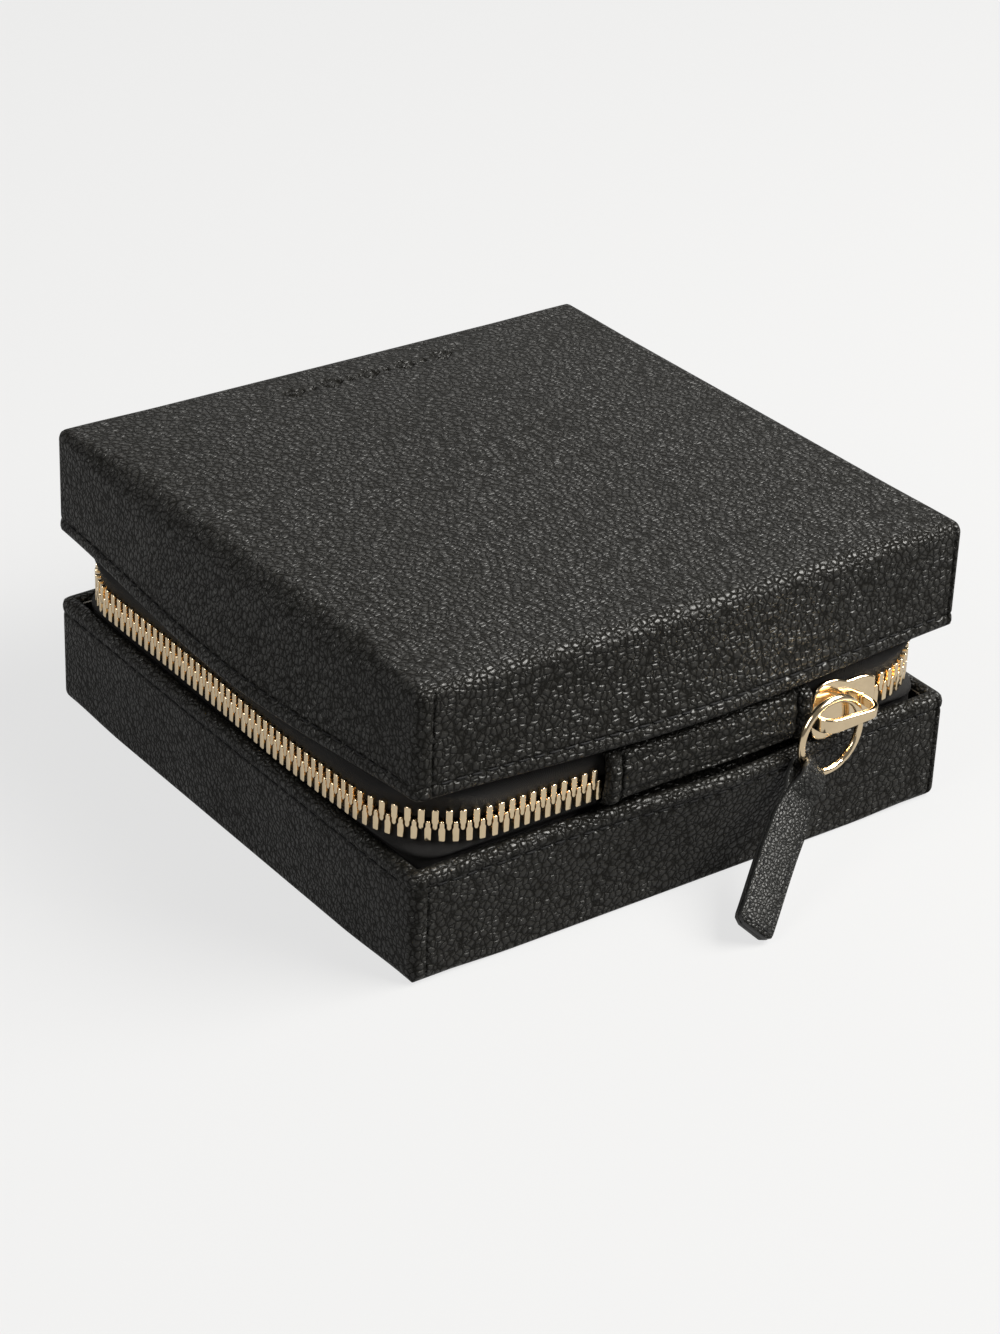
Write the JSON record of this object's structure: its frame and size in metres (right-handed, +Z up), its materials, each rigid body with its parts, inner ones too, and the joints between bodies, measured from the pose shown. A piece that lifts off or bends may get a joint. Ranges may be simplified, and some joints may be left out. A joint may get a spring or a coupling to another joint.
{
  "type": "leather jewellery case",
  "caption": "Square zip-round jewellery case in black pebbled leather: lift-back lid, gold zip with ring and leather pull, ring rolls, compartments and necklace straps inside.",
  "frame": {"origin": "centre of the underside of the base, on the surface it stands on", "axes": "+Z up; the leather hinge and the parked zip slider are on the -Y side, the lid's front edge on the +Y side; +X to the right seen from the hinge side"},
  "size_m": [0.12, 0.143, 0.0575],
  "materials": {
    "leather": "black pebble-grain leather, satin",
    "tab_leather": "black pebble-grain leather with painted edges",
    "greyboard": "plain grey bookbinder's board",
    "foam": "thin open-cell foam",
    "suede": "charcoal faux suede",
    "elastic": "black woven elastic",
    "zip_tape": "black woven polyester zip tape",
    "zip_metal": "polished pale gold",
    "snap_metal": "polished pale gold"
  },
  "bodies": {
    "base": {"base_sole": "leather", "base_cover": "leather", "base_floor_board": "greyboard", "base_board_hinge": "greyboard", "base_board_front": "greyboard", "base_board_left": "greyboard", "base_board_right": "greyboard", "base_lining": "suede", "divider_left": "suede", "divider_right": "suede", "divider_cross": "suede", "ring_roll_1": "suede", "ring_roll_2": "suede", "ring_roll_3": "suede", "ring_roll_4": "suede", "ring_roll_5": "suede", "ring_roll_6": "suede", "ring_roll_7": "suede", "hinge_panel": "leather", "zip_tape_lower": "zip_tape", "zip_teeth_lower": "zip_metal", "zip_top_stop_lower": "zip_metal", "zip_bottom_stop": "zip_metal"},
    "lid": {"lid_cover": "leather", "lid_padding": "foam", "lid_top_board": "greyboard", "lid_board_hinge": "greyboard", "lid_board_front": "greyboard", "lid_board_left": "greyboard", "lid_board_right": "greyboard", "lid_lining": "suede", "lid_pad": "suede", "lid_pocket": "suede", "lid_pocket_elastic": "elastic", "necklace_bar": "leather", "snap_studs": "snap_metal", "zip_tape_upper": "zip_tape", "zip_teeth_upper": "zip_metal", "zip_top_stop_upper": "zip_metal"},
    "slider": {"zip_slider_body": "zip_metal", "zip_slider_crown": "zip_metal"},
    "pull_ring": {"pull_ring": "zip_metal"},
    "pull_tab": {"pull_tab": "tab_leather"},
    "strap_left": {"necklace_strap_left": "leather", "snap_cap_left": "snap_metal"},
    "strap_middle": {"necklace_strap_middle": "leather", "snap_cap_middle": "snap_metal"},
    "strap_right": {"necklace_strap_right": "leather", "snap_cap_right": "snap_metal"}
  },
  "joints": [
    {"name": "lid_hinge", "type": "hinge", "parent": "base", "child": "lid", "pos_m": [0, -0.06, 0.029], "axis": [1, 0, 0], "range_deg": [0, 95], "deforming": ["hinge_panel", "zip_tape_upper", "zip_tape_lower", "zip_teeth_upper", "zip_teeth_lower", "zip_top_stop_upper"]},
    {"name": "slider_run", "type": "slide", "parent": "base", "child": "slider", "axis": [1, 0, 0], "range_m": [0, 0.007]},
    {"name": "ring_swing", "type": "hinge", "parent": "slider", "child": "pull_ring", "pos_m": [0.0348, -0.06317, 0.028], "axis": [0, 0, -1], "range_deg": [-142, 6]},
    {"name": "tab_swing", "type": "hinge", "parent": "pull_ring", "child": "pull_tab", "pos_m": [0.02359, -0.06395, 0.01897], "axis": [-0.7413, -0.0518, 0.6691], "range_deg": [-10, 60]},
    {"name": "strap_left_swing", "type": "hinge", "parent": "lid", "child": "strap_left", "pos_m": [-0.028, 0.0339, 0.0479], "axis": [1, 0, 0], "range_deg": [0, 120]},
    {"name": "strap_middle_swing", "type": "hinge", "parent": "lid", "child": "strap_middle", "pos_m": [0, 0.0339, 0.0479], "axis": [1, 0, 0], "range_deg": [0, 120]},
    {"name": "strap_right_swing", "type": "hinge", "parent": "lid", "child": "strap_right", "pos_m": [0.028, 0.0339, 0.0479], "axis": [1, 0, 0], "range_deg": [0, 120]}
  ]
}
